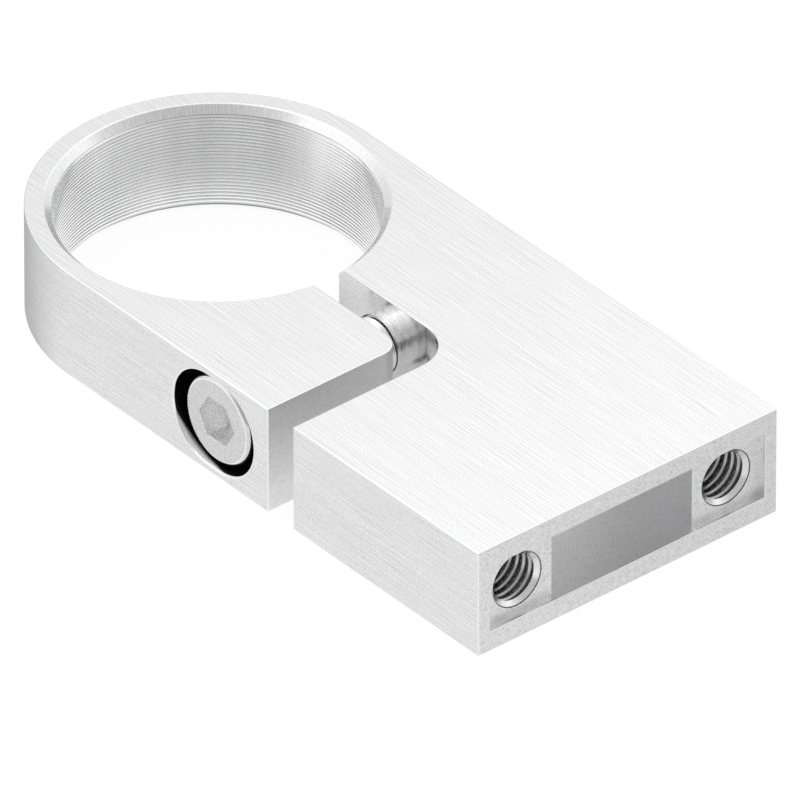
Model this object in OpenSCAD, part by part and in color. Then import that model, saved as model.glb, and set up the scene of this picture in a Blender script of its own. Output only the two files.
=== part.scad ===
// Tube clamp ring, milled from one aluminium bar, with the cap screw that closes it.
// The ring grips a round tube. An L-shaped slot frees a lug at one side, and the screw
// pulls the lug across the slot. The end of the block is a socket face with two threads.
// The origin is the centre of the bore, +X points to the end face and +Z is along the bore.

/* [Ring] */
// Diameter of the bore that grips the tube
bore_d = 43; // [34:0.5:60]
// Wall of the ring round the bore
ring_wall = 3.5; // [3:0.1:6]
// Chamfer at both mouths of the bore
bore_chamfer = 1; // [0.3:0.1:1.5]
// Thickness of the clamp along the bore
body_h = 16; // [15:0.5:24]

/* [Slot and lug] */
// Width of the slot in both of its legs
slot_w = 5; // [3:0.25:6]
// Rounding of the slot's outer corner
slot_corner_r = 6; // [5.5:0.25:8]
// Rounding of the lug's inner corner
lug_corner_r = 3; // [1:0.25:4]
// From the clamp screw's axis to the free end of the lug
lug_tip = 11; // [9:0.5:16]

/* [Clamp screw] */
// From the wall of the bore to the screw's axis
screw_offset = 7.5; // [6.5:0.25:12]
// Diameter of the screw's thread
screw_d = 8; // [6:0.5:9]
// Length of the screw below its head
screw_l = 30; // [26:1:34]
// Diameter of the head
head_d = 13; // [11:0.25:13.5]
// Height of the head
head_h = 8; // [6:0.25:10]
// Rounding of the head's rim
head_rim_r = 0.9; // [0.3:0.1:1.2]
// Width across the flats of the hexagon socket
socket_af = 6; // [4:0.5:7]
// Depth of the flats of the hexagon socket
socket_depth = 4; // [2.5:0.25:5]
// Chamfer at the screw's tip
tip_chamfer = 1; // [0.3:0.1:1.5]

/* [Screw seat] */
// Depth of the head's face below the side of the lug
head_sink = 0.6; // [0:0.1:3]
// Gap between the head and the long sides of its seat
seat_side_gap = 0.4; // [0.2:0.05:0.6]
// Gap between the head and the round ends of its seat
seat_end_gap = 1.5; // [0.7:0.1:2]
// Gap round the screw in the lug
lug_hole_gap = 0.5; // [0.2:0.05:1]
// Gap between the plain screw and the plain wall that stands for its tapped hole
thread_gap = 0.05; // [0.03:0.01:0.1]
// Depth of the tapped hole past the screw's tip
tap_spare = 4; // [1:0.5:5]

/* [End of the block] */
// From the slot's cross leg to the end face
block_l = 36.8; // [30:0.1:60]
// Rim left beside the recess, at each side
recess_side_rim = 2; // [1:0.25:4]
// Rim left above and below the recess
recess_flat_rim = 3; // [2:0.25:3.5]
// Depth of the recess
recess_depth = 1.25; // [0.5:0.25:3]
// Depth of the pocket below the end face
pocket_depth = 11; // [5:0.5:20]
// From a thread's axis to the side of the pocket
pocket_side = 5.75; // [5:0.25:7]
// From the side of the block to a thread's axis
end_thread_edge = 7.5; // [6.5:0.25:9]
// Core diameter of an end thread
end_core_d = 6.7; // [5:0.1:7]
// Diameter of the chamfered mouth of an end thread
end_mouth_d = 8.1; // [7.5:0.1:8.5]
// Depth of an end thread below the recess
end_thread_depth = 20; // [10:0.5:25]

/* [Hidden] */
$fn = 96;
// How far a cut runs past the face it opens
overrun = 1;
// Angle of the point that a drill leaves
drill_angle = 118;
bar_colour = [0.88, 0.88, 0.89];
screw_colour = [0.76, 0.76, 0.77];

bore_r = bore_d / 2;
body_w = bore_d + 2 * ring_wall;
screw_x = bore_r + screw_offset;
lug_end_x = screw_x + lug_tip;
slot_end_x = lug_end_x + slot_w;
end_x = slot_end_x + block_l;
recess_x = end_x - recess_depth;
head_face_y = head_sink - body_w / 2;
head_seat_y = head_face_y + head_h;
screw_tip_y = head_seat_y + screw_l;
end_thread_y = body_w / 2 - end_thread_edge;

// Ring and block seen along the bore: the block's sides run tangent into the ring
module bar_outline() {
    circle(d = body_w);
    translate([0, -body_w / 2])
        square([end_x, body_w]);
}

// What a rounding of radius r leaves in a square corner at the origin
module corner_waste(r) {
    difference() {
        translate([-r, -r])
            square(r);
        translate([-r, -r])
            circle(r);
    }
}

// The L-shaped slot: from the bore along the middle of the block, then out at the side
module slot_outline() {
    difference() {
        union() {
            translate([0, -slot_w / 2])
                square([slot_end_x, slot_w]);
            translate([lug_end_x, -body_w / 2 - overrun])
                square([slot_w, body_w / 2 + overrun + slot_w / 2]);
        }
        translate([slot_end_x, slot_w / 2])
            corner_waste(slot_corner_r);
    }
    translate([lug_end_x, -slot_w / 2])
        corner_waste(lug_corner_r);
}

// The bore with a chamfer at each mouth, as one turned form
module bore() {
    wide_r = bore_r + bore_chamfer + overrun;
    wide_z = body_h / 2 + overrun;
    wall_z = body_h / 2 - bore_chamfer;
    rotate_extrude()
        polygon([
            [0, -wide_z],
            [wide_r, -wide_z],
            [bore_r, -wall_z],
            [bore_r, wall_z],
            [wide_r, wide_z],
            [0, wide_z]
        ]);
}

// A drilled blind hole: its mouth at the origin, opening towards +Z
module blind_hole(hole_d, mouth_d, depth) {
    hole_r = hole_d / 2;
    mouth_r = mouth_d / 2;
    point_h = hole_r / tan(drill_angle / 2);
    rotate_extrude()
        polygon([
            [0, overrun],
            [mouth_r, overrun],
            [mouth_r, 0],
            [hole_r, hole_r - mouth_r],
            [hole_r, -depth],
            [0, -depth - point_h]
        ]);
}

// Everything cut for the clamp screw: the long seat of its head in the lug's side,
// the clearance hole through the lug and the tapped hole across the slot in the block
module screw_seat() {
    end_shift = seat_end_gap - seat_side_gap;
    seat_r = head_d / 2 + seat_side_gap;
    translate([screw_x, -body_w / 2 - overrun, 0])
        rotate([-90, 0, 0]) {
            linear_extrude(overrun + head_sink + head_h) {
                square([2 * end_shift, 2 * seat_r], center = true);
                for (side = [-1, 1])
                    translate([side * end_shift, 0])
                        circle(seat_r);
            }
            cylinder(d = screw_d + 2 * lug_hole_gap, h = overrun + body_w / 2);
        }
    translate([screw_x, slot_w / 2, 0])
        rotate([90, 0, 0])
            blind_hole(
                screw_d + 2 * thread_gap,
                screw_d + 2 * thread_gap,
                screw_tip_y + tap_spare - slot_w / 2
            );
}

// The end of the block: a shallow recess inside a rim, a deep pocket in its middle
// and a threaded hole at each side of the pocket
module end_socket() {
    recess_w = body_w - 2 * recess_side_rim;
    recess_h = body_h - 2 * recess_flat_rim;
    pocket_w = 2 * (end_thread_y - pocket_side);
    translate([recess_x, -recess_w / 2, -recess_h / 2])
        cube([recess_depth + overrun, recess_w, recess_h]);
    translate([end_x - pocket_depth, -pocket_w / 2, -recess_h / 2])
        cube([pocket_depth + overrun, pocket_w, recess_h]);
    for (side = [-1, 1])
        translate([recess_x, side * end_thread_y, 0])
            rotate([0, 90, 0])
                blind_hole(end_core_d, end_mouth_d, end_thread_depth);
}

module clamp_body() {
    color(bar_colour)
        difference() {
            translate([0, 0, -body_h / 2])
                linear_extrude(body_h)
                    bar_outline();
            translate([0, 0, -body_h / 2 - overrun])
                linear_extrude(body_h + 2 * overrun)
                    slot_outline();
            bore();
            screw_seat();
            end_socket();
        }
}

// Half of the screw's outline: the head's face at the origin, the tip towards +Z
module screw_profile() {
    head_r = head_d / 2;
    screw_r = screw_d / 2;
    whole_l = head_h + screw_l;
    square([head_r - head_rim_r, head_h]);
    translate([0, head_rim_r])
        square([head_r, head_h - head_rim_r]);
    translate([head_r - head_rim_r, head_rim_r])
        circle(head_rim_r);
    polygon([
        [0, 0],
        [screw_r, 0],
        [screw_r, whole_l - tip_chamfer],
        [screw_r - tip_chamfer, whole_l],
        [0, whole_l]
    ]);
}

// Hexagon socket with the shallow cone that its drill leaves, from the head's face down
module hexagon_socket() {
    flats_r = socket_af / 2;
    cone_h = flats_r / tan(drill_angle / 2);
    translate([0, 0, -overrun])
        cylinder(r = flats_r / cos(30), h = overrun + socket_depth, $fn = 6);
    translate([0, 0, socket_depth])
        cylinder(r1 = flats_r, r2 = 0, h = cone_h);
}

module clamp_screw() {
    color(screw_colour)
        translate([screw_x, head_face_y, 0])
            rotate([-90, 0, 0])
                difference() {
                    rotate_extrude()
                        screw_profile();
                    hexagon_socket();
                }
}

clamp_body();
clamp_screw();
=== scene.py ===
import bmesh
import bpy
import numpy as np
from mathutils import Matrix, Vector, geometry


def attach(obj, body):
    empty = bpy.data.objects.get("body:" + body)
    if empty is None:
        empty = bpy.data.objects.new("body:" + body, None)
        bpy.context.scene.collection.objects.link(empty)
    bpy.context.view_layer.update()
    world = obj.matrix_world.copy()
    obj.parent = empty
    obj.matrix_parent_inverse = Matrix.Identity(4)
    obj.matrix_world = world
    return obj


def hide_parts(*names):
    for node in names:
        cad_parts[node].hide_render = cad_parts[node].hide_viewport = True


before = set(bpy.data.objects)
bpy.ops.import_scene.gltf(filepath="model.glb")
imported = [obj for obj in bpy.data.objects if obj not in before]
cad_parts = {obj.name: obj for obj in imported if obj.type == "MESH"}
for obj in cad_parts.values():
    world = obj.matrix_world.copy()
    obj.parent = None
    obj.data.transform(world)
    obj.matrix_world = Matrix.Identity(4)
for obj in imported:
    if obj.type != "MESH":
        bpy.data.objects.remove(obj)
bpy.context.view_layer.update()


# Clamp body: ring, lug and block in one piece, milled from a flat aluminium bar.
# The bar's long faces stay brushed lengthwise, the bore is turned with a fine feed, the
# slot, the screw's seat and the end socket are milled, and every edge is lightly broken.
MM = 0.001
half_h = 8.0
ring_r = 25.0
bore_r = 21.5
bore_chamfer = 1.0
slot_half = 2.5
lug_end_x = 40.0
lug_corner_r = 3.0
slot_corner_r = 6.0
block_start_x = 45.0
end_x = 81.8
edge_r = 0.16
edge_steps = 4
side_z = half_h - edge_r

(
    BRUSHED,
    FACED,
    SIDE_CUT,
    SLOTTED,
    SUNK,
    GROOVED,
    CHAMFERED,
    BROKEN,
    TAPPED,
    LEDGE,
    SHADED_MOUTH,
    THREADED,
) = range(12)
body_patches = []


def grid_patch(points, finish, closed=False, smooth=True, lay=None):
    """Quads between neighbouring rows and columns of a grid of points, whose last column
    is joined to the first when it is closed. The finish is laid along the rows: its own
    two coordinates are the length along the first row and the height, unless given."""
    rows, columns = points.shape[:2]
    row, column = np.meshgrid(
        np.arange(rows - 1), np.arange(columns if closed else columns - 1), indexing="ij"
    )
    after = (column + 1) % columns
    near, far = row * columns, (row + 1) * columns
    faces = np.stack([near + column, near + after, far + after, far + column], axis=-1)
    if lay is None:
        steps = np.linalg.norm(np.diff(points[0], axis=0), axis=-1)
        run = np.concatenate([[0.0], np.cumsum(steps)])
        lay = np.stack(np.broadcast_arrays(run[None, :], points[..., 2]), axis=-1)
    return points.reshape(-1, 3), faces.reshape(-1, 4), lay.reshape(-1, 2), finish, smooth


def flat_patch(loops, plane, place, finish):
    """A flat face with holes: triangles that fill the first loop, without those whose
    three corners lie on one of the others, which are convex. All the loops lie in the
    plane of two axes, at one place on the third."""
    outline = np.concatenate(loops)
    sizes = [len(loop) for loop in loops]
    starts = np.cumsum([0] + sizes[:-1])
    edges = np.concatenate(
        [
            np.stack([start + np.arange(size), start + (np.arange(size) + 1) % size], axis=-1)
            for start, size in zip(starts, sizes)
        ]
    )
    inside_only, same_point = 1, 1e-7
    filled = geometry.delaunay_2d_cdt(
        outline.tolist(), edges.tolist(), [], inside_only, same_point
    )
    corners, triangles = np.array(filled[0]), np.array(filled[2])
    loop_of = np.repeat(np.arange(len(loops)), sizes)[triangles]
    in_hole = (loop_of[:, 0] > 0) & (loop_of.min(axis=1) == loop_of.max(axis=1))
    points = np.full((len(corners), 3), place, float)
    points[:, plane[0]] = corners[:, 0]
    points[:, plane[1]] = corners[:, 1]
    return points, triangles[~in_hole], corners, finish, False


def quad_patch(corners, finish):
    """A flat face with four corners, given in order round it."""
    a, b, c, d = np.array(corners, float)
    return grid_patch(np.array([[a, b], [d, c]]), finish, smooth=False)


def welded_piece(name, patches, finishes):
    """One closed mesh from patches that share the points of their borders: they are laid
    side by side, their doubles are merged and their faces are turned outwards."""
    offsets = np.cumsum([0] + [len(patch[0]) for patch in patches[:-1]])
    faces = [
        face
        for offset, patch in zip(offsets, patches)
        for face in (patch[1] + offset).tolist()
    ]
    mesh = bpy.data.meshes.new(name)
    mesh.from_pydata(np.concatenate([patch[0] for patch in patches]) * MM, [], faces)
    for attribute, of_patch in (("material_index", 3), ("use_smooth", 4)):
        values = [np.full(len(patch[1]), patch[of_patch], np.int32) for patch in patches]
        mesh.polygons.foreach_set(attribute, np.concatenate(values))
    corner_points = np.zeros(len(mesh.loops), np.int32)
    mesh.loops.foreach_get("vertex_index", corner_points)
    lay = np.concatenate([patch[2] for patch in patches]) * MM
    lay_map = mesh.uv_layers.new(name="lay")
    lay_map.uv.foreach_set("vector", lay[corner_points].astype(np.float32).ravel())
    same_point = 0.001 * MM
    crease = 34
    welded = bmesh.new()
    welded.from_mesh(mesh)
    bmesh.ops.remove_doubles(welded, verts=welded.verts, dist=same_point)
    bmesh.ops.recalc_face_normals(welded, faces=welded.faces)
    welded.to_mesh(mesh)
    welded.free()
    smooth_faces = np.zeros(len(mesh.polygons), bool)
    mesh.polygons.foreach_get("use_smooth", smooth_faces)
    mesh.set_sharp_from_angle(angle=np.radians(crease))
    mesh.polygons.foreach_set("use_smooth", smooth_faces)
    for finish in finishes:
        mesh.materials.append(finish)
    piece = bpy.data.objects.new(name, mesh)
    bpy.context.scene.collection.objects.link(piece)
    return piece


def arc_chain(arcs):
    """Points and inward normals along a chain of arcs that straight lines join. A row of
    the table is an arc's centre, radius, first and last angle and number of steps; the
    metal lies inside an arc that turns left and outside one that turns right."""
    points, inward, ends = [], [], []
    for x, y, r, first, last, steps in arcs:
        angle = np.radians(np.linspace(first, last, steps + 1))
        ray = np.stack([np.cos(angle), np.sin(angle)], axis=-1)
        points.append(np.array([x, y]) + r * ray)
        inward.append(ray * np.sign(first - last))
        ends.append(steps + 1)
    return np.concatenate(points), np.concatenate(inward), np.cumsum(ends)


def rings(centre, axis, radii, places, count):
    """Rings round an axis through a centre: each row has its radius, which may change
    round the ring, and its place along the axis."""
    angle = 2 * np.pi * np.arange(count) / count
    radii = np.broadcast_to(np.reshape(radii, (len(places), -1)), (len(places), count))
    across = 1 - axis
    points = np.empty((len(places), count, 3))
    points[..., axis] = np.reshape(places, (-1, 1))
    points[..., across] = centre[across] + radii * np.cos(angle)
    points[..., 2] = centre[2] + radii * np.sin(angle)
    return points


turn = np.linspace(0, np.pi / 2, edge_steps + 1)
edge_drop = edge_r * (1 - np.sin(turn))
edge_inset = edge_r * (1 - np.cos(turn))
corner_y = ring_r - edge_r
slot_arc_x = block_start_x - slot_corner_r
lug_arc_x = lug_end_x - lug_corner_r
wall, inward, arc_ends = arc_chain(
    [
        (slot_arc_x, slot_half - slot_corner_r, slot_corner_r, 90, 0, 28),
        (block_start_x + edge_r, -corner_y, edge_r, 180, 270, edge_steps),
        (end_x - edge_r, -corner_y, edge_r, 270, 360, edge_steps),
        (end_x - edge_r, corner_y, edge_r, 0, 90, edge_steps),
        (0, 0, ring_r, 90, 270, 120),
        (lug_end_x - edge_r, -corner_y, edge_r, 270, 360, edge_steps),
        (lug_arc_x, -slot_half - lug_corner_r, lug_corner_r, 0, 90, 18),
    ]
)

# The bore, in rows from its top mouth down: chamfer, turned grooves, chamfer
groove_pitch = 0.53
groove_depth = 0.12
groove_step_shares = np.array([0.0, 0.34, 0.46, 0.54, 0.78])
groove_depth_shares = np.array([0.0, 0.0, 0.9, 1.0, 0.30])
groove_margin = 0.15
bore_count = 241
land_z = half_h - bore_chamfer
groove_count = int(2 * (land_z - groove_margin) / groove_pitch)
groove_top = groove_count * groove_pitch / 2
groove_number = np.arange(groove_count)[:, None]
groove_z = (groove_top - groove_pitch * (groove_number + groove_step_shares)).ravel()
groove_r = bore_r + groove_depth * np.tile(groove_depth_shares, groove_count)
mouth_z = np.concatenate([half_h - edge_drop[::-1], [land_z]])
mouth_inset = np.concatenate([edge_inset[::-1], [0.0]])
mouth_flare = np.array([0.07, 0.045, 0.015, 0.0, 0.0, 0.0])
mouth_r = bore_r + mouth_z - land_z + mouth_flare
bore_z = np.concatenate([mouth_z, groove_z, [-groove_top], -mouth_z[::-1]])
bore_row_r = np.concatenate([mouth_r, groove_r, [bore_r], mouth_r[::-1]])
bore_inset = np.zeros(len(bore_z))
bore_inset[:len(mouth_z)] = mouth_inset
bore_inset[-len(mouth_z):] = mouth_inset[::-1]
first_angle = np.arcsin((slot_half + bore_inset) / bore_row_r)[:, None]
bore_angle = first_angle + 2 * (np.pi - first_angle) * np.linspace(0, 1, bore_count)
bore_rows = np.broadcast_to(bore_z[:, None], bore_angle.shape)
bore = np.stack(
    [
        bore_row_r[:, None] * np.cos(bore_angle),
        bore_row_r[:, None] * np.sin(bore_angle),
        bore_rows,
    ],
    axis=-1,
)
bore_lay = np.stack([bore_angle * bore_r, bore_rows], axis=-1)
chamfer_rows = len(mouth_z)
for rows, finish in (
    (slice(0, chamfer_rows - 1), BROKEN),
    (slice(chamfer_rows - 2, chamfer_rows), CHAMFERED),
    (slice(chamfer_rows - 1, 1 - chamfer_rows), GROOVED),
    (slice(-chamfer_rows, 2 - chamfer_rows), CHAMFERED),
    (slice(1 - chamfer_rows, None), BROKEN),
):
    body_patches.append(grid_patch(bore[rows], finish, lay=bore_lay[rows]))

# The broken edges round the outline, from the slot's wall in the block round the whole
# body to its wall in the lug, and the flat faces inside them
edge_xy = wall[None] + inward[None] * edge_inset[:, None, None]
edge_z = np.full(edge_xy.shape[:2] + (1,), side_z) + edge_r * np.sin(turn)[:, None, None]
slot_mouth = bore[edge_steps::-1][:, [0, -1]]
edge_band = np.concatenate(
    [slot_mouth[:, :1], np.concatenate([edge_xy, edge_z], axis=-1), slot_mouth[:, 1:]], axis=1
)
top_loop = np.concatenate([edge_band[-1, :, :2], bore[0, -2:0:-1, :2]])
for side in (1, -1):
    body_patches.append(grid_patch(edge_band * [1, 1, side], BROKEN))
    body_patches.append(flat_patch([top_loop], (0, 1), side * half_h, BRUSHED))

# The walls that have no hole: those on an arc, then those on a straight line. A narrow
# row at the top and bottom keeps the rounded edges out of the shading of the walls.
narrow_row = 0.05
wall_z = np.array([side_z, side_z - narrow_row, narrow_row - side_z, -side_z])
run = np.concatenate([[0], np.cumsum(np.linalg.norm(np.diff(wall, axis=0), axis=1))])
walls = np.stack([np.concatenate([wall, np.full((len(wall), 1), z)], axis=1) for z in wall_z])
walls_lay = np.stack(np.broadcast_arrays(run[None, :], walls[..., 2]), axis=-1)
arc_starts = np.concatenate([[0], arc_ends[:-1]])
arc_finishes = (SLOTTED, BROKEN, BROKEN, BROKEN, BRUSHED, BROKEN, SIDE_CUT)
for start, end, finish in zip(arc_starts, arc_ends, arc_finishes):
    body_patches.append(
        grid_patch(walls[:, start:end], finish, lay=walls_lay[:, start:end])
    )
for arc, finish in ((0, SLOTTED), (1, BRUSHED), (3, BRUSHED), (5, SIDE_CUT)):
    line = slice(arc_ends[arc] - 1, arc_ends[arc] + 1)
    body_patches.append(
        grid_patch(walls[:, line], finish, smooth=False, lay=walls_lay[:, line])
    )


def wall_column(place):
    """The points down the rows of a wall, at one place along it."""
    return np.stack([np.full(len(wall_z), place), wall_z], axis=-1)


# The screw's seat: a long hole in the side of the lug, its flat floor and the clearance
# hole through the lug to the slot; then the tapped hole across the slot in the block
screw_x = 29.0
seat_r = 6.9
seat_shift = 1.1
seat_floor_y = -16.4
clearance_r = 4.5
clearance_chamfer = 0.3
tap_r = 4.05
tap_floor_y = 17.6
drill_half_angle = 59
drill_slope = np.tan(np.radians(drill_half_angle))
hole_count = 96
seat_edge_share = 1.6
seat_radii = np.concatenate(
    [
        seat_r + seat_edge_share * edge_drop,
        [seat_r, clearance_r + clearance_chamfer, clearance_r],
        clearance_r + edge_inset,
    ]
)
seat_places = np.concatenate(
    [
        seat_edge_share * edge_inset - ring_r,
        [seat_floor_y, seat_floor_y, seat_floor_y + clearance_chamfer],
        -slot_half - edge_drop,
    ]
)
seat = rings((screw_x, 0, 0), 1, seat_radii, seat_places, hole_count)
long_rows = edge_steps + 2
around = np.round(np.cos(2 * np.pi * np.arange(hole_count) / hole_count), 9)
seat[:long_rows, :, 0] += seat_shift * np.sign(around)
rim_rows = edge_steps + 1
body_patches.append(grid_patch(seat[:rim_rows], BROKEN, closed=True))
body_patches.append(grid_patch(seat[rim_rows - 1:long_rows], SUNK, closed=True))
hole_row = long_rows + 1
body_patches.append(grid_patch(seat[long_rows - 1:hole_row + 1], SUNK, closed=True))
body_patches.append(grid_patch(seat[hole_row:], SIDE_CUT, closed=True))
lug_side = np.concatenate([wall_column(0), wall_column(lug_end_x - edge_r)[::-1]])
body_patches.append(flat_patch([lug_side, seat[0][:, [0, 2]]], (0, 2), -ring_r, BRUSHED))
inner_rows = slice(edge_steps, -edge_steps)
lug_wall = np.concatenate([bore[inner_rows, -1][:, [0, 2]], wall_column(lug_arc_x)[::-1]])
body_patches.append(flat_patch([lug_wall, seat[-1][:, [0, 2]]], (0, 2), -slot_half, SLOTTED))

tap_radii = np.concatenate([tap_r + edge_inset[::-1], [tap_r, 0]])
tap_places = np.concatenate(
    [slot_half + edge_drop[::-1], [tap_floor_y, tap_floor_y + tap_r / drill_slope]]
)
tapped_hole = rings((screw_x, 0, 0), 1, tap_radii, tap_places, hole_count)
body_patches.append(grid_patch(tapped_hole, TAPPED, closed=True))
block_wall = np.concatenate([bore[inner_rows, 0][:, [0, 2]], wall_column(slot_arc_x)[::-1]])
body_patches.append(
    flat_patch([block_wall, tapped_hole[0][:, [0, 2]]], (0, 2), slot_half, SLOTTED)
)

# The end socket: a shallow recess inside a rim, a deep pocket in its middle and a tapped
# hole with a chamfered mouth at each side of the pocket
recess_y = 23.0
recess_z = 5.0
recess_x = 80.55
pocket_y = 11.75
pocket_x = 70.8
thread_y = 17.5
end_core_r = 3.35
end_mouth_r = 4.05
end_thread_h = 0.68
end_thread_l = 14.0
end_chamfer = 0.65
end_hole_l = 20.0
end_pitch = 1.25
end_count = 72
rows_per_turn = 20
corners = np.array([[-1, -1], [1, -1], [1, 1], [-1, 1]])
rim_side = np.repeat(corners, 2, axis=0)
at_corner = np.array([1, 0, 0, 1, 1, 0, 0, 1], bool)
rim_y = np.where(at_corner, recess_y + edge_drop[:, None], pocket_y)
rim_z = np.broadcast_to(recess_z + edge_drop[:, None], rim_y.shape)
rim_yz = rim_side * np.stack([rim_y, rim_z], axis=-1)
rim_x = np.broadcast_to((end_x - edge_inset)[:, None, None], rim_y.shape + (1,))
body_patches.append(grid_patch(np.concatenate([rim_x, rim_yz], axis=-1), BROKEN, closed=True))
end_face = np.concatenate([wall_column(-corner_y), wall_column(corner_y)[::-1]])
body_patches.append(flat_patch([end_face, rim_yz[0]], (1, 2), end_x, FACED))
rim_floor_x = end_x - edge_r
pocket_half = np.array([[rim_floor_x, pocket_y], [recess_x, pocket_y], [pocket_x, pocket_y]])
pocket_loop = np.concatenate([pocket_half, pocket_half[::-1] * [1, -1]])
ledge_loop = np.array(
    [
        [rim_floor_x, recess_y],
        [recess_x, recess_y],
        [recess_x, pocket_y],
        [rim_floor_x, pocket_y],
    ]
)
for side in (1, -1):
    body_patches.append(flat_patch([pocket_loop], (0, 1), side * recess_z, SIDE_CUT))
    for end in (1, -1):
        body_patches.append(
            flat_patch([ledge_loop * [1, end]], (0, 1), side * recess_z, LEDGE)
        )
    for wall_y, x_low, x_high, finish in (
        (side * recess_y, recess_x, rim_floor_x, SIDE_CUT),
        (side * pocket_y, pocket_x, recess_x, SIDE_CUT),
    ):
        body_patches.append(
            quad_patch(
                [
                    (x_low, wall_y, -recess_z),
                    (x_high, wall_y, -recess_z),
                    (x_high, wall_y, recess_z),
                    (x_low, wall_y, recess_z),
                ],
                finish,
            )
        )
body_patches.append(
    quad_patch([(pocket_x, y * pocket_y, z * recess_z) for y, z in corners], SIDE_CUT)
)

# Each end thread in rows from its mouth down: a thin ring, painted near black as shade at
# the mouth's edge, the chamfer, the thread, which runs in and out, the plain end of the hole
# and its drilled point. Round a turn the thread is one less the sine deep, cut flat where
# that passes its full depth.
end_shade_band = 0.10
end_overcut_share = 1.2
run_in_share = 0.2
depth = np.arange(end_shade_band, end_thread_l, end_pitch / rows_per_turn)
turns = np.arange(end_count) / end_count - depth[:, None] / end_pitch
tooth = np.minimum(end_overcut_share * (1 - np.abs(np.sin(np.pi * turns))), 1)
run_in = np.clip((depth - end_chamfer) / (run_in_share * end_pitch), 0, 1)
fade = np.minimum(run_in, np.clip((end_thread_l - depth) / end_pitch, 0, 1))[:, None]
thread_radii = np.maximum(end_core_r + end_thread_h * tooth * fade, end_mouth_r - depth[:, None])
mouth_rows = int(end_chamfer / end_pitch * rows_per_turn) + 1
mouth_radii = np.full((1, end_count), end_mouth_r + end_shade_band / 2)
plain_radii = np.full((3, end_count), end_core_r)
plain_radii[-1] = 0
end_radii = np.concatenate([mouth_radii, thread_radii, plain_radii])
end_places = recess_x - np.concatenate(
    [[0], depth, [end_thread_l, end_hole_l, end_hole_l + end_core_r / drill_slope]]
)
for side in (1, -1):
    hole = rings((0, side * thread_y, 0), 0, end_radii, end_places, end_count)
    body_patches.append(grid_patch(hole[:2], SHADED_MOUTH, closed=True))
    body_patches.append(grid_patch(hole[1:mouth_rows], TAPPED, closed=True))
    body_patches.append(grid_patch(hole[mouth_rows - 1:], THREADED, closed=True))
    low_y, high_y = sorted((side * pocket_y, side * recess_y))
    floor_loop = np.array(
        [[low_y, -recess_z], [high_y, -recess_z], [high_y, recess_z], [low_y, recess_z]]
    )
    body_patches.append(flat_patch([floor_loop, hole[0][:, 1:]], (1, 2), recess_x, FACED))


def add_node(tree, kind, *sources, **settings):
    """A node of one kind. The sources go to its inputs in order, and a setting that is
    named like an input, with _ for a space, goes to that one: an output of another node
    is linked and any other value is set. All other settings are properties of the node."""
    made = tree.nodes.new(kind)
    given = list(enumerate(sources))
    for key, value in settings.items():
        name = key.replace("_", " ")
        if name in made.inputs:
            given.append((name, value))
        else:
            setattr(made, key, value)
    for target, value in given:
        if isinstance(value, bpy.types.NodeSocket):
            tree.links.new(value, made.inputs[target])
        else:
            made.inputs[target].default_value = value
    return made


def product(tree, first, second):
    """One value of a node tree times another."""
    return add_node(tree, "ShaderNodeMath", first, second, operation="MULTIPLY").outputs["Value"]


def scaled_sum(tree, value, factor, shift):
    """A value of a node tree times a factor, plus a shift."""
    made = add_node(tree, "ShaderNodeMath", value, factor, shift, operation="MULTIPLY_ADD")
    return made.outputs["Value"]


def ramp(tree, value, places, levels, smooth=False):
    """A level that runs from the first to the last of two levels while a value of a node
    tree runs from the first to the last of two places, and stays level outside them."""
    made = add_node(
        tree,
        "ShaderNodeMapRange",
        value,
        From_Min=places[0],
        From_Max=places[1],
        To_Min=levels[0],
        To_Max=levels[1],
        interpolation_type="SMOOTHSTEP" if smooth else "LINEAR",
    )
    return made.outputs["Result"]


def brush_marks(tree, lay, length, width):
    """Straight marks side by side along the lay: every row across it is a place of its
    own in a noise that changes slowly along the row, and half of the next row is taken
    away, which leaves fine marks but no broad bands."""
    sides = add_node(tree, "ShaderNodeSeparateXYZ", lay).outputs
    along = product(tree, sides["X"], 1 / (length * MM))
    rows = product(tree, sides["Y"], 1 / (width * MM))
    row = add_node(tree, "ShaderNodeMath", rows, operation="FLOOR").outputs["Value"]
    row_apart = 7.31
    noises = []
    for shift in (0, 1):
        row_place = scaled_sum(tree, row, row_apart, row_apart * shift)
        spot = add_node(tree, "ShaderNodeCombineXYZ", along, row_place).outputs["Vector"]
        noise = add_node(tree, "ShaderNodeTexNoise", spot, Scale=1.0, Detail=0.0)
        noises.append(noise.outputs["Fac"])
    apart = scaled_sum(tree, noises[1], -0.5, 0.25)
    return add_node(tree, "ShaderNodeMath", noises[0], apart, operation="ADD").outputs["Value"]


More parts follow.
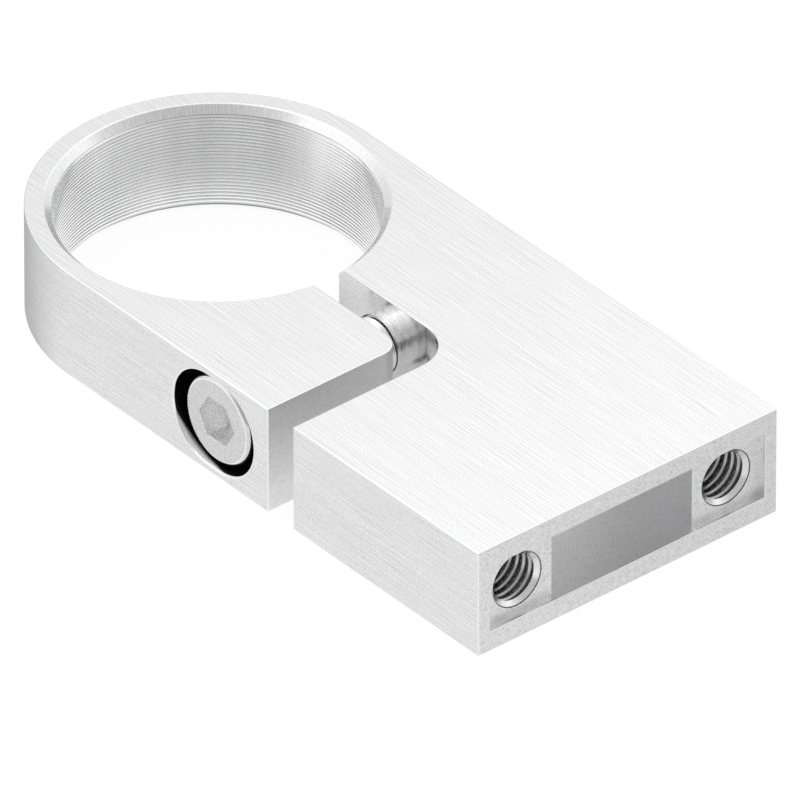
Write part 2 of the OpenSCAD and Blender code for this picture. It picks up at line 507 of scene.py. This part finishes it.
def metal_finish(
    name,
    colour,
    roughness,
    marks,
    contrast,
    crossed=False,
    clouds=0.0,
    rough_spread=0.05,
    bump=0.1,
    fade=None,
    lines=None,
    metallic=1.0,
):
    """A bare metal with tool marks of a length and a width, in mm, from a stretched noise
    that changes the colour, the roughness and the height together. Long marks follow the
    lay with a fine grain between them, crossed ones run both ways across it, and round ones
    fill the space evenly. A wide soft noise makes the marks stronger in some places and
    can add slow clouds to the colour. A fade is painted shade: it darkens the colour along a
    direction, between two places on it, nearly to black. Lines are painted shade too: they
    darken the colour at equal steps across the lay, at the roots of grooves, with the soft
    noise drawn out across them."""
    material = bpy.data.materials.new(name)
    material.use_nodes = True
    tree = material.node_tree
    shader = tree.nodes["Principled BSDF"]
    shader.inputs["Metallic"].default_value = metallic
    lay = add_node(tree, "ShaderNodeUVMap", uv_map="lay").outputs["UV"]
    place = add_node(tree, "ShaderNodeTexCoord").outputs["Object"]
    length, width = marks
    noises = []
    if length > 4 * width and not crossed:
        grain_size = 0.16 * MM
        grain = add_node(tree, "ShaderNodeTexNoise", place, Scale=1 / grain_size, Detail=0.0)
        noises = [brush_marks(tree, lay, length, width), grain.outputs["Fac"]]
    else:
        source = place if length == width else lay
        mark_scale = (1 / (length * MM), 1 / (width * MM), 1 / (width * MM))
        for angle in (0.8, -0.8) if crossed else (0.0,):
            turned = add_node(tree, "ShaderNodeMapping", source, Rotation=(0, 0, angle))
            sized = add_node(tree, "ShaderNodeMapping", turned.outputs["Vector"], Scale=mark_scale)
            spot = sized.outputs["Vector"]
            noise = add_node(tree, "ShaderNodeTexNoise", spot, Scale=1.0, Detail=0.0)
            noises.append(noise.outputs["Fac"])
    mark = noises[0]
    if len(noises) == 2:
        both = add_node(tree, "ShaderNodeMix", data_type="FLOAT", Factor=0.5, A=mark, B=noises[1])
        mark = both.outputs["Result"]
    soft_place = place
    if lines:
        drawn_out = add_node(tree, "ShaderNodeMapping", lay, Scale=(1.0, 0.08, 1.0))
        soft_place = drawn_out.outputs["Vector"]
    soft_size = 7 * MM
    soft_noise = add_node(tree, "ShaderNodeTexNoise", soft_place, Scale=1 / soft_size, Detail=2.0)
    soft = soft_noise.outputs["Fac"]
    noise_range = (0.3, 0.7)
    stronger = ramp(tree, soft, (0.35, 0.65), (0.8, 1.2))
    shade = ramp(tree, mark, noise_range, (-contrast, contrast))
    shades = [scaled_sum(tree, shade, stronger, 1.0)]
    if clouds:
        shades.append(ramp(tree, soft, noise_range, (1 - clouds, 1 + clouds)))
    # Painted shade: the colour darkens along the fade's direction, nearly to black.
    if fade:
        direction, light_place, dark_place = fade
        along = add_node(tree, "ShaderNodeVectorMath", place, direction, operation="DOT_PRODUCT")
        places = (light_place * MM, dark_place * MM)
        shades.append(ramp(tree, along.outputs["Value"], places, (1.0, 0.01), smooth=True))
    # Painted shade at the roots of grooves.
    if lines:
        pitch, middle, darkness = lines
        across = add_node(tree, "ShaderNodeSeparateXYZ", lay).outputs["Y"]
        steps = scaled_sum(tree, across, -1 / (pitch * MM), middle)
        share = add_node(tree, "ShaderNodeMath", steps, 0.5, operation="PINGPONG").outputs["Value"]
        root_shares = (0.05, 0.16)
        shades.append(ramp(tree, share, root_shares, (1 - darkness, 1.0)))
    brightness = shades[0]
    for other in shades[1:]:
        brightness = product(tree, brightness, other)
    tint = add_node(tree, "ShaderNodeVectorMath", colour, operation="SCALE", Scale=brightness)
    tree.links.new(tint.outputs["Vector"], shader.inputs["Base Color"])
    dull = ramp(tree, mark, noise_range, (roughness - rough_spread, roughness + rough_spread))
    tree.links.new(dull, shader.inputs["Roughness"])
    relief = add_node(tree, "ShaderNodeBump", Strength=bump, Distance=0.02 * MM, Height=mark)
    tree.links.new(relief.outputs["Normal"], shader.inputs["Normal"])
    return material


aluminium = (0.86, 0.86, 0.865)
faced_cut = (0.91, 0.91, 0.915)
bright_cut = (0.95, 0.95, 0.955)
clean_cut = (0.93, 0.93, 0.935)
# Painted shade: the ledges in the end recess are a darker grey than the rest of the bar.
ledge_shade_grey = (0.76, 0.76, 0.765)
# Painted shade: a near black ring round the mouth of each end hole.
mouth_shade_grey = (0.16, 0.16, 0.165)
# Painted shade: the threads deep in the end holes are a much darker grey than the same aluminium
# elsewhere.
thread_shade_grey = (0.55, 0.55, 0.555)
# Painted shade in the screw's seat: its walls darken from near the mouth inwards, as if lit from the
# front left.
seat_painted_shade = ((0.218, 1.0, 0.44), -21.5, -20.9)
# Painted shade: dark lines at the roots of the bore's turned grooves.
groove_root_shade = (groove_pitch, groove_top / groove_pitch - 0.5, 0.5)
body_finishes = [
    metal_finish(
        "brushed_aluminium",
        aluminium,
        0.36,
        (8.0, 0.14),
        0.17,
        rough_spread=0.0,
        bump=0.0,
    ),
    metal_finish("faced_aluminium", faced_cut, 0.38, (1.0, 0.13), 0.22, crossed=True),
    metal_finish("side_cut_aluminium", bright_cut, 0.34, (1.5, 0.16), 0.13, crossed=True),
    metal_finish("slot_aluminium", clean_cut, 0.16, (1.5, 0.16), 0.09, crossed=True),
    metal_finish(
        "sunk_aluminium_painted_shade",
        bright_cut,
        0.30,
        (0.3, 0.3),
        0.08,
        fade=seat_painted_shade,
        metallic=0.7,
    ),
    metal_finish(
        "grooved_aluminium",
        bright_cut,
        0.14,
        (7.0, 0.12),
        0.07,
        clouds=0.10,
        lines=groove_root_shade,
    ),
    metal_finish("chamfered_aluminium", faced_cut, 0.16, (0.16, 2.5), 0.12),
    metal_finish("broken_edge_aluminium", bright_cut, 0.14, (0.2, 0.2), 0.03),
    metal_finish("tapped_aluminium", clean_cut, 0.24, (0.25, 0.25), 0.05),
    metal_finish("ledge_aluminium_painted_shade", ledge_shade_grey, 0.24, (0.20, 3.0), 0.12),
    metal_finish("mouth_ring_painted_shade", mouth_shade_grey, 0.40, (0.3, 0.3), 0.30),
    metal_finish("threaded_aluminium_painted_shade", thread_shade_grey, 0.20, (0.25, 0.25), 0.05),
]
body = welded_piece("clamp_body_milled", body_patches, body_finishes)
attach(body, "clamp")
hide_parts("clamp_body")


# Clamp screw: a cap screw of plain stainless steel with a hexagon socket and a coarse
# rolled thread. Its cold-formed satin head sinks into the seat in the lug, and its thread
# crosses the slot into the tapped hole in the block, so turning it pulls the lug in.
def thread_tooth(places, pitch, count):
    """Height of a thread from 0 at the core to 1, as a field over the places along its
    axis and the angle round it: straight flanks between two narrow flats, repeated with
    the turns, which are the place over the pitch plus the share of a turn."""
    crest_half_share = 0.0625
    flank_share = 0.3125
    turns = places[:, None] / pitch + np.arange(count) / count
    from_crest = np.abs(turns - np.floor(turns) - 0.5)
    return np.clip((crest_half_share + flank_share - from_crest) / flank_share, 0, 1)


head_face_y = -24.4
head_r = 6.5
head_h = 8.0
head_rim_r = 0.9
head_foot_r = 0.25
socket_r = 3.0
socket_depth = 4.0
socket_mouth = 0.07
shank_r = 3.95
thread_h = 0.30
screw_l = 30.0
tip_chamfer = 1.0
screw_pitch = 1.25
screw_rows_per_turn = 12
fade_l = 2.5
screw_count = 96
rim_steps = 8
neck = 0.3
tip_step = 0.3
socket_land = 2.0
last_row_gap = 0.001
screw_turn = 2 * np.pi * np.arange(screw_count) / screw_count
hexagon = 1 / np.cos(screw_turn % (np.pi / 3) - np.pi / 6)
round_socket = np.ones(screw_count)
rim_turn = np.linspace(0, np.pi / 2, rim_steps + 1)
rim_radii = head_r - head_rim_r * (1 - np.sin(rim_turn))
rim_places = head_rim_r * (1 - np.cos(rim_turn))
foot_radii = head_r - head_foot_r * (1 - np.cos(rim_turn[::2]))
foot_places = head_h - head_foot_r * (1 - np.sin(rim_turn[::2]))
thread_s = head_h + np.arange(
    neck, screw_l - last_row_gap, screw_pitch / screw_rows_per_turn
)
tooth = thread_tooth(thread_s, screw_pitch, screw_count)
fade = np.clip((thread_s - head_h - neck) / fade_l, 0, 1)[:, None]
core = shank_r - thread_h * np.sqrt(fade)
thread_radii = core + (shank_r - core) * tooth
tip_radii = np.clip(screw_l + head_h - thread_s, 0, tip_chamfer)[:, None] + shank_r - tip_chamfer
thread_radii = np.minimum(thread_radii, tip_radii)
socket_rows = np.stack(
    [
        0 * round_socket,
        socket_r * round_socket,
        socket_r * hexagon,
        socket_r * hexagon,
        (socket_r + socket_mouth) * hexagon,
        (socket_r + socket_land) * round_socket,
    ]
)
socket_places = np.array(
    [socket_depth + socket_r / drill_slope, socket_depth, socket_depth, socket_mouth, 0, 0]
)
round_radii = np.concatenate([rim_radii, foot_radii, [shank_r + neck, shank_r]])
round_places = np.concatenate([rim_places, foot_places, [head_h, head_h + neck]])
tip_r = shank_r - tip_chamfer - tip_step
head_radii = np.concatenate([socket_rows, round_radii[:, None] * round_socket])
head_places = np.concatenate([socket_places, round_places])
shank_radii = np.concatenate([thread_radii, np.array([[tip_r], [0]]) * round_socket])
shank_places = np.concatenate([thread_s, [head_h + screw_l] * 2])
screw_centre = (screw_x, 0, 0)
head_grid = rings(screw_centre, 1, head_radii, head_face_y + head_places, screw_count)
shank_grid = rings(screw_centre, 1, shank_radii, head_face_y + shank_places, screw_count)
mouth_row, rim_row = 3, len(socket_rows)
SATIN, THREAD, RIM, SOCKET, RIM_LINE = range(5)
screw_patches = [
    grid_patch(head_grid[:mouth_row + 1], SOCKET, closed=True),
    grid_patch(head_grid[mouth_row:rim_row + 2], SATIN, closed=True),
    # Painted highlight: a narrow band of the rim's rounding is a brighter steel than the rim round
    # it, a white line round the face.
    grid_patch(head_grid[rim_row + 1:rim_row + 3], RIM_LINE, closed=True),
    grid_patch(head_grid[rim_row + 2:], RIM, closed=True),
    grid_patch(shank_grid, THREAD, closed=True),
]
satin_grey = (0.73, 0.73, 0.74)
rim_grey = (0.74, 0.74, 0.75)
bright_steel = (0.98, 0.98, 0.98)
screw_finishes = [
    metal_finish("satin_steel", satin_grey, 0.34, (0.13, 0.13), 0.16, bump=0.2),
    metal_finish("thread_steel", bright_steel, 0.22, (0.2, 0.2), 0.03),
    metal_finish("rim_steel", rim_grey, 0.12, (0.2, 0.2), 0.08),
    metal_finish("socket_steel", bright_steel, 0.30, (0.18, 0.18), 0.12, metallic=0.88),
    metal_finish("rim_line_painted_highlight", bright_steel, 0.16, (0.2, 0.2), 0.02),
]
screw = welded_piece("clamp_screw_steel", screw_patches, screw_finishes)
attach(screw, "screw")
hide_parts("clamp_screw")


# Floor: a plain white sheet under the clamp, which lies on its flat side. The camera sees
# it white with the clamp's soft shadow. The metal sees a painted glow on it, not lit paper:
# brightest in front of the clamp, greyer behind the ring as a painted shadow and, in the
# bore, dimmer towards the slot as painted shade.
def grey_ramp(tree, place, stops):
    """Greys at stops along a place from 0 to 1, with even changes between them."""
    made = add_node(tree, "ShaderNodeValToRGB", place)
    elements = made.color_ramp.elements
    for number, (stop_place, grey) in enumerate(stops):
        stop = elements[number] if number < 2 else elements.new(stop_place)
        stop.position = stop_place
        stop.color = (grey, grey, grey, 1)
    return made.outputs["Color"]


def larger(tree, first, second):
    """The larger one of two values of a node tree."""
    return add_node(tree, "ShaderNodeMath", first, second, operation="MAXIMUM").outputs["Value"]


def room_glow(tree, direction):
    """How bright the metal sees the room in a direction: white all round but for a dark
    side, after the cosine of the angle to that side, and a little dimmer towards the back,
    after the direction's share along Y."""
    dark_side = (0.906, -0.423, 0.0)
    brightest = 1.15
    seen_at = (
        (0.0, 0.72),
        (0.10, 0.86),
        (0.25, 1.06),
        (0.54, 1.12),
        (0.62, 0.76),
        (0.78, 0.53),
        (1.0, 0.50),
    )
    back_shares = (0.55, 0.95)
    back_levels = (1.0, 0.86)
    cosine = add_node(tree, "ShaderNodeVectorMath", direction, dark_side, operation="DOT_PRODUCT")
    turned_to = scaled_sum(tree, cosine.outputs["Value"], 0.5, 0.5)
    room = grey_ramp(tree, turned_to, [(share, seen / brightest) for share, seen in seen_at])
    to_back = add_node(tree, "ShaderNodeSeparateXYZ", direction).outputs["Y"]
    dimmer = ramp(tree, to_back, back_shares, back_levels)
    return product(tree, product(tree, room, brightest), dimmer)


floor_size = 6.0
floor_z = -half_h * MM
floor_mesh = bpy.data.meshes.new("white_floor")
floor_mesh.from_pydata(
    [(x * floor_size, y * floor_size, floor_z) for x, y in corners.tolist()], [], [(0, 1, 2, 3)]
)
floor = bpy.data.objects.new("white_floor", floor_mesh)
bpy.context.scene.collection.objects.link(floor)
floor_material = bpy.data.materials.new("white_paper")
floor_material.use_nodes = True
tree = floor_material.node_tree
paper = tree.nodes["Principled BSDF"]
paper.inputs["Base Color"].default_value = (0.9, 0.9, 0.9, 1)
paper.inputs["Roughness"].default_value = 0.9
paper.inputs["Specular IOR Level"].default_value = 0.0
white_glow = add_node(tree, "ShaderNodeEmission", Strength=0.89).outputs["Emission"]
shadow_sheet = add_node(tree, "ShaderNodeBsdfDiffuse", Color=(0.15, 0.15, 0.15, 1)).outputs["BSDF"]
seen_white = add_node(tree, "ShaderNodeAddShader", white_glow, shadow_sheet).outputs["Shader"]

# Where the paper's painted glow changes, and from what level to what: in front of the clamp,
# close beside it, past its end, from the middle of the bore outwards, and towards the slot.
# The grey behind the ring is a painted shadow, and the dim middle of the bore painted shade.
front_y = (30 * MM, -45 * MM)
front_glow = (0.46, 0.91)
beside_y = (-20 * MM, -24.5 * MM)
beside_glow = (0.0, 0.895)
past_end_x = (30 * MM, 85 * MM)
past_end_glow = (0.46, 0.80)
in_bore_r = (8 * MM, 17 * MM)
in_bore_glow = (0.56, 1.0)
to_slot_x = (3 * MM, 12 * MM)
to_slot_dimming = (1.0, 0.75)
painted_shadow_grey = 0.60
round_stops = (
    (0.0, painted_shadow_grey),
    (0.25, 1.0),
    (0.639, 1.0),
    (0.806, painted_shadow_grey),
    (1.0, painted_shadow_grey),
)
turned_about = (-1 * MM, -23.3 * MM, 0)
far_off_r = (120 * MM, 400 * MM)
place = add_node(tree, "ShaderNodeTexCoord").outputs["Object"]
sides = add_node(tree, "ShaderNodeSeparateXYZ", place).outputs
in_front = ramp(tree, sides["Y"], front_y, front_glow)
beside = ramp(tree, sides["Y"], beside_y, beside_glow)
past_end = ramp(tree, sides["X"], past_end_x, past_end_glow)
around_body = larger(tree, larger(tree, in_front, beside), past_end)
inwards = add_node(tree, "ShaderNodeVectorMath", turned_about, place, operation="SUBTRACT")
in_sides = add_node(tree, "ShaderNodeSeparateXYZ", inwards.outputs["Vector"]).outputs
turned = add_node(tree, "ShaderNodeMath", in_sides["X"], in_sides["Y"], operation="ARCTAN2")
turned_share = scaled_sum(tree, turned.outputs["Value"], 0.5 / np.pi, 0.5)
around_ring = product(tree, around_body, grey_ramp(tree, turned_share, round_stops))
flat = add_node(tree, "ShaderNodeVectorMath", place, (1, 1, 0), operation="MULTIPLY")
flat_place = flat.outputs["Vector"]
from_bore = add_node(tree, "ShaderNodeVectorMath", flat_place, operation="LENGTH").outputs["Value"]
within = add_node(tree, "ShaderNodeMath", from_bore, bore_r * MM, operation="LESS_THAN")
to_slot = ramp(tree, sides["X"], to_slot_x, to_slot_dimming)
bore_side = product(tree, ramp(tree, from_bore, in_bore_r, in_bore_glow), to_slot)
in_bore = product(tree, bore_side, within.outputs["Value"])
near_glow = larger(tree, around_ring, in_bore)
outwards = add_node(tree, "ShaderNodeVectorMath", flat_place, operation="NORMALIZE")
far_glow = room_glow(tree, outwards.outputs["Vector"])
far_off = ramp(tree, from_bore, far_off_r, (0.0, 1.0))
glow = add_node(tree, "ShaderNodeMix", data_type="FLOAT", Factor=far_off, A=near_glow, B=far_glow)
# Painted light and shade: the metal sees the paper glow at these levels by place.
painted_floor_glow = add_node(tree, "ShaderNodeEmission", Strength=glow.outputs["Result"]).outputs["Emission"]
ray = add_node(tree, "ShaderNodeLightPath").outputs
by_metal = add_node(
    tree, "ShaderNodeMixShader", ray["Is Glossy Ray"], paper.outputs["BSDF"], painted_floor_glow
)
seen = add_node(
    tree,
    "ShaderNodeMath",
    ray["Is Camera Ray"],
    ray["Is Transmission Ray"],
    operation="ADD",
    use_clamp=True,
)
by_camera = add_node(
    tree, "ShaderNodeMixShader", seen.outputs["Value"], by_metal.outputs["Shader"], seen_white
)
tree.links.new(by_camera.outputs["Shader"], tree.nodes["Material Output"].inputs["Surface"])
floor_mesh.materials.append(floor_material)


# Light: a white room. The metal alone sees its darker side and its dimmer back, and one
# broad lamp high behind the ring adds a soft light from there.
world = bpy.data.worlds.new("white_room")
bpy.context.scene.world = world
world.use_nodes = True
tree = world.node_tree
background = tree.nodes["Background"]
background.inputs["Color"].default_value = (1, 1, 1, 1)
room = room_glow(tree, add_node(tree, "ShaderNodeTexCoord").outputs["Generated"])
by_metal = add_node(tree, "ShaderNodeLightPath").outputs["Is Glossy Ray"]
strength = add_node(tree, "ShaderNodeMix", data_type="FLOAT", Factor=by_metal, A=1.0, B=room)
tree.links.new(strength.outputs["Result"], background.inputs["Strength"])

lamp = bpy.data.lights.new("back_panel", "AREA")
lamp.shape = "RECTANGLE"
lamp.size = 0.5
lamp.size_y = 0.25
lamp.energy = 0.20
lamp_holder = bpy.data.objects.new("back_panel", lamp)
lamp_holder.location = (-0.15, 0.15, 0.345)
lamp_holder.rotation_mode = "QUATERNION"
lamp_holder.rotation_quaternion = Vector((-1, 0, 0)).to_track_quat("Z", "Y")
lamp_holder.visible_camera = False
bpy.context.scene.collection.objects.link(lamp_holder)


# Camera: a very long lens from high on the lug's side, so that parallel edges stay
# parallel, framed as a square picture.
sensor = 36.0
lens = 1663.0
camera_distance = 4.753
camera_back = Vector((0.62673, -0.52688, 0.57412)).normalized()
camera_target = Vector((34.635, 1.611, -5.337)) * MM
camera_data = bpy.data.cameras.new("long_lens")
camera_data.sensor_width = sensor
camera_data.lens = lens
camera_data.clip_start = 0.1
camera_data.clip_end = 12.0
camera = bpy.data.objects.new("long_lens", camera_data)
camera.location = camera_target + camera_back * camera_distance
camera.rotation_mode = "QUATERNION"
camera.rotation_quaternion = (-camera_back).to_track_quat("-Z", "Y")
bpy.context.scene.collection.objects.link(camera)
bpy.context.scene.camera = camera
bpy.context.scene.view_settings.view_transform = "Standard"
